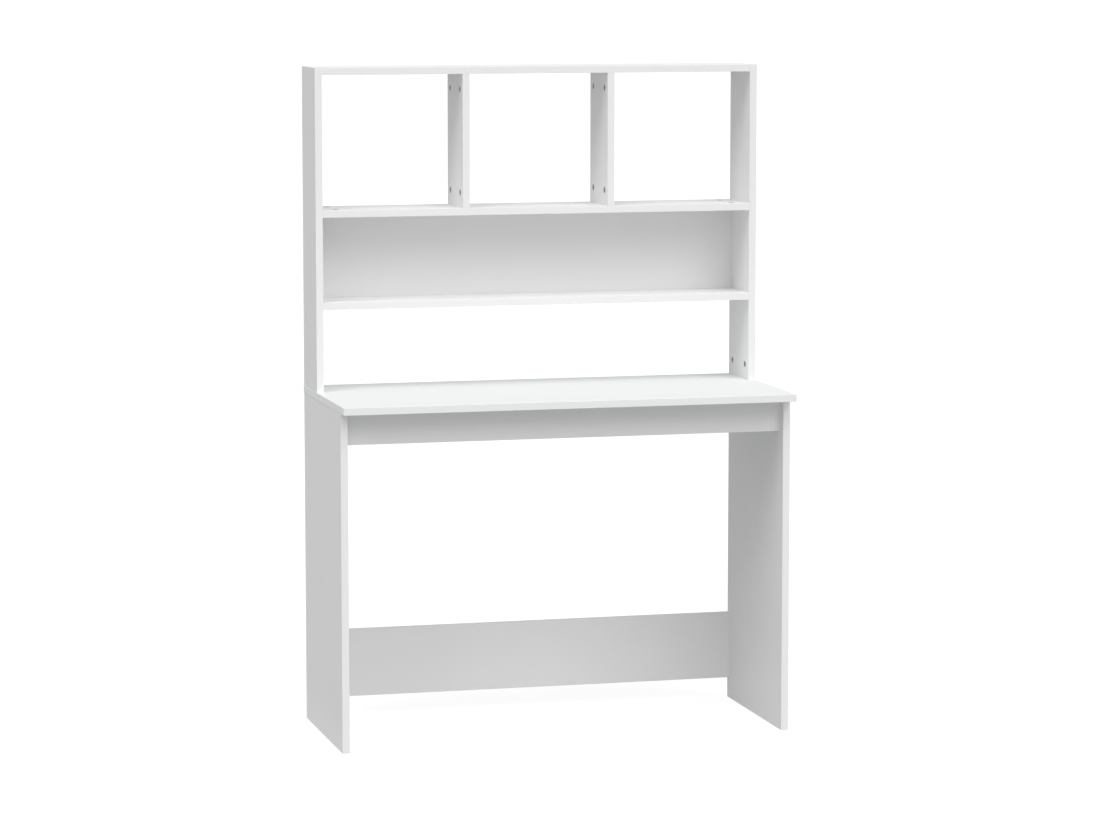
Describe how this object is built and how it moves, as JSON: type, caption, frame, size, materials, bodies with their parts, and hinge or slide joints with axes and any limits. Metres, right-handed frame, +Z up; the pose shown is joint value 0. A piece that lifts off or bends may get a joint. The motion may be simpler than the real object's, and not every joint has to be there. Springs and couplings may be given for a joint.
{
  "type": "student desk with hutch",
  "caption": "Upright white desk with a shelf hutch: panel legs, a front apron and a low rear panel carry the desktop; open cubbies and a backed shelf stand above it.",
  "frame": {"origin": "on the floor, under the middle of the desktop, which is the middle of the whole footprint", "axes": "+Z up, X across the desk, -Y towards the sitter and +Y to the back"},
  "size_m": [1.02, 0.45, 1.48],
  "materials": {
    "white_laminate": "white melamine-faced chipboard, satin, with a very fine grain",
    "white_edge_band": "white plastic edge band, satin, with a fine lengthwise line",
    "cast_zinc": "die-cast zinc, dull grey with a slight sparkle",
    "plated_steel": "zinc-plated steel, satin",
    "beech": "plain pressed beech"
  },
  "bodies": {
    "root": {"desktop": "white_laminate", "desktop_edge_bands": "white_edge_band", "divider_cam_bolts": "plated_steel", "divider_cam_locks": "cast_zinc", "divider_dowels": "beech", "front_apron": "white_laminate", "front_apron_cam_bolts": "plated_steel", "front_apron_cam_locks": "cast_zinc", "front_apron_dowels": "beech", "front_apron_edge_bands": "white_edge_band", "hutch_back_panel": "white_laminate", "hutch_back_panel_cam_bolts": "plated_steel", "hutch_back_panel_cam_locks": "cast_zinc", "hutch_back_panel_dowels": "beech", "hutch_left_side": "white_laminate", "hutch_left_side_edge_bands": "white_edge_band", "hutch_right_side": "white_laminate", "hutch_right_side_edge_bands": "white_edge_band", "hutch_side_cam_bolts": "plated_steel", "hutch_side_cam_locks": "cast_zinc", "hutch_side_dowels": "beech", "hutch_top": "white_laminate", "hutch_top_cam_bolts": "plated_steel", "hutch_top_cam_locks": "cast_zinc", "hutch_top_dowels": "beech", "hutch_top_edge_bands": "white_edge_band", "left_divider": "white_laminate", "left_divider_edge_bands": "white_edge_band", "left_leg": "white_laminate", "left_leg_edge_bands": "white_edge_band", "leg_cam_bolts": "plated_steel", "leg_cam_locks": "cast_zinc", "leg_dowels": "beech", "lower_shelf": "white_laminate", "lower_shelf_cam_bolts": "plated_steel", "lower_shelf_cam_locks": "cast_zinc", "lower_shelf_dowels": "beech", "lower_shelf_edge_bands": "white_edge_band", "modesty_panel": "white_laminate", "modesty_panel_cam_bolts": "plated_steel", "modesty_panel_cam_locks": "cast_zinc", "modesty_panel_dowels": "beech", "modesty_panel_edge_bands": "white_edge_band", "right_divider": "white_laminate", "right_divider_edge_bands": "white_edge_band", "right_leg": "white_laminate", "right_leg_edge_bands": "white_edge_band", "upper_shelf": "white_laminate", "upper_shelf_cam_bolts": "plated_steel", "upper_shelf_cam_locks": "cast_zinc", "upper_shelf_dowels": "beech", "upper_shelf_edge_bands": "white_edge_band"}
  },
  "joints": []
}
